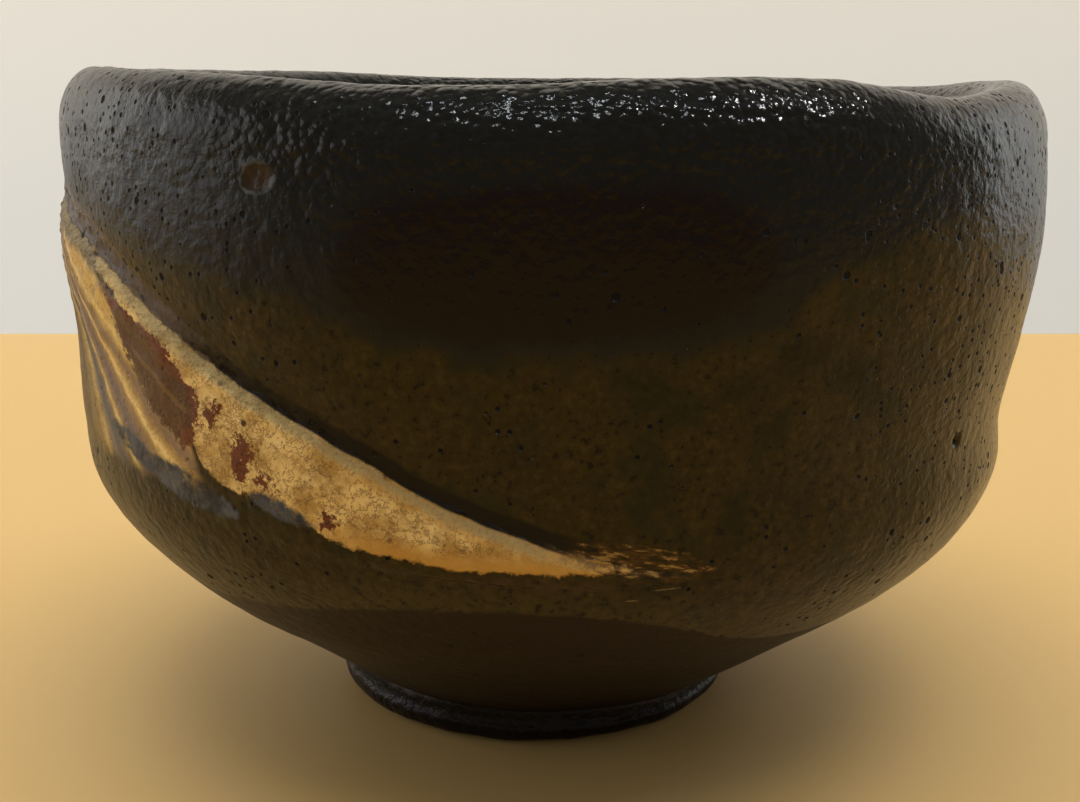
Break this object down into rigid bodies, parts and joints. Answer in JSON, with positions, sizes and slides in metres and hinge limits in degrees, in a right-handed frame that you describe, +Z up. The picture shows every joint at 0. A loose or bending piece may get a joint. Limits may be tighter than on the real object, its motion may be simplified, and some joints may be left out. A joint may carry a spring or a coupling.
{
  "type": "matcha bowl",
  "caption": "Hand-formed black tea bowl for whisking and drinking matcha, with a thick lip, a cream facet and a small foot ring.",
  "frame": {"origin": "on the table, under the middle of the bowl's own box", "axes": "+Z up out of the bowl's mouth, -Y towards the side with the cream facet, +X to the right of that side"},
  "size_m": [0.1202, 0.1194, 0.0804],
  "materials": {
    "clay_body": "bare brown clay",
    "foot_ring": "bare dark clay",
    "outer_glaze": "satin to glossy black and olive-brown glaze, pitted",
    "cream_glaze": "rough cream and gold glaze with rust-brown blotches",
    "inner_glaze": "glossy black glaze",
    "foot_glaze": "satin near-black glaze"
  },
  "bodies": {
    "root": {"clay_body": "clay_body", "foot_ring": "foot_ring", "outer_glaze": "outer_glaze", "cream_glaze": "cream_glaze", "inner_glaze": "inner_glaze", "foot_glaze": "foot_glaze"}
  },
  "joints": []
}
